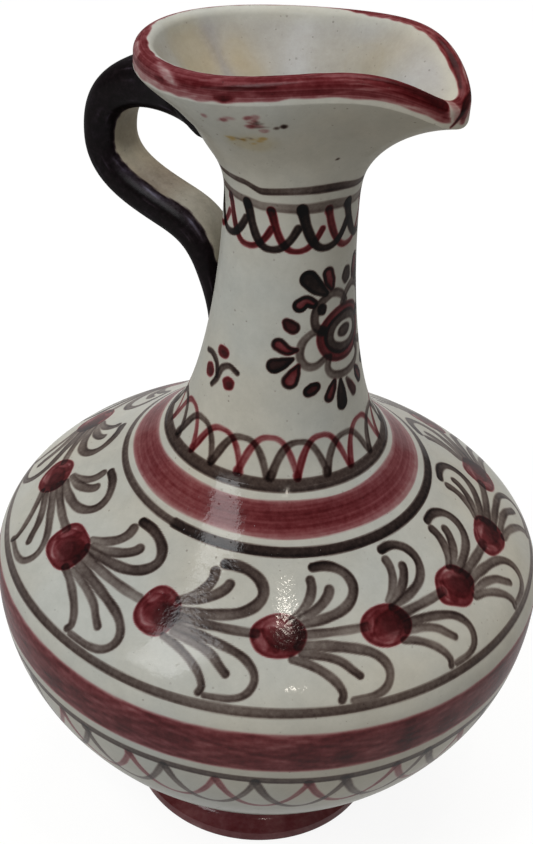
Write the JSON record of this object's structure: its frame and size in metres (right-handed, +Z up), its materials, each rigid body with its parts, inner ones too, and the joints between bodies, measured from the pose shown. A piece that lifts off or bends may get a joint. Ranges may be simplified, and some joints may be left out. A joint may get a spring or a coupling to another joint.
{
  "type": "jug",
  "caption": "Tin-glazed pottery jug with a round belly on a foot ring, a slender neck, a pinched mouth with a pulled pouring lip and a strap handle.",
  "frame": {"origin": "on the jug's axis, on the surface that it stands on", "axes": "+Z up along the axis, +X towards the pouring lip, handle towards -X"},
  "size_m": [0.14, 0.14, 0.2158],
  "materials": {
    "white_glaze": "glossy off-white tin glaze, painted under the gloss",
    "red_glaze": "glossy brushed red-brown pigment on the glaze",
    "black_glaze": "glossy brushed black-brown pigment on the glaze"
  },
  "bodies": {
    "root": {"foot_ring": "red_glaze", "belly": "white_glaze", "neck": "white_glaze", "handle": "black_glaze"}
  },
  "joints": []
}
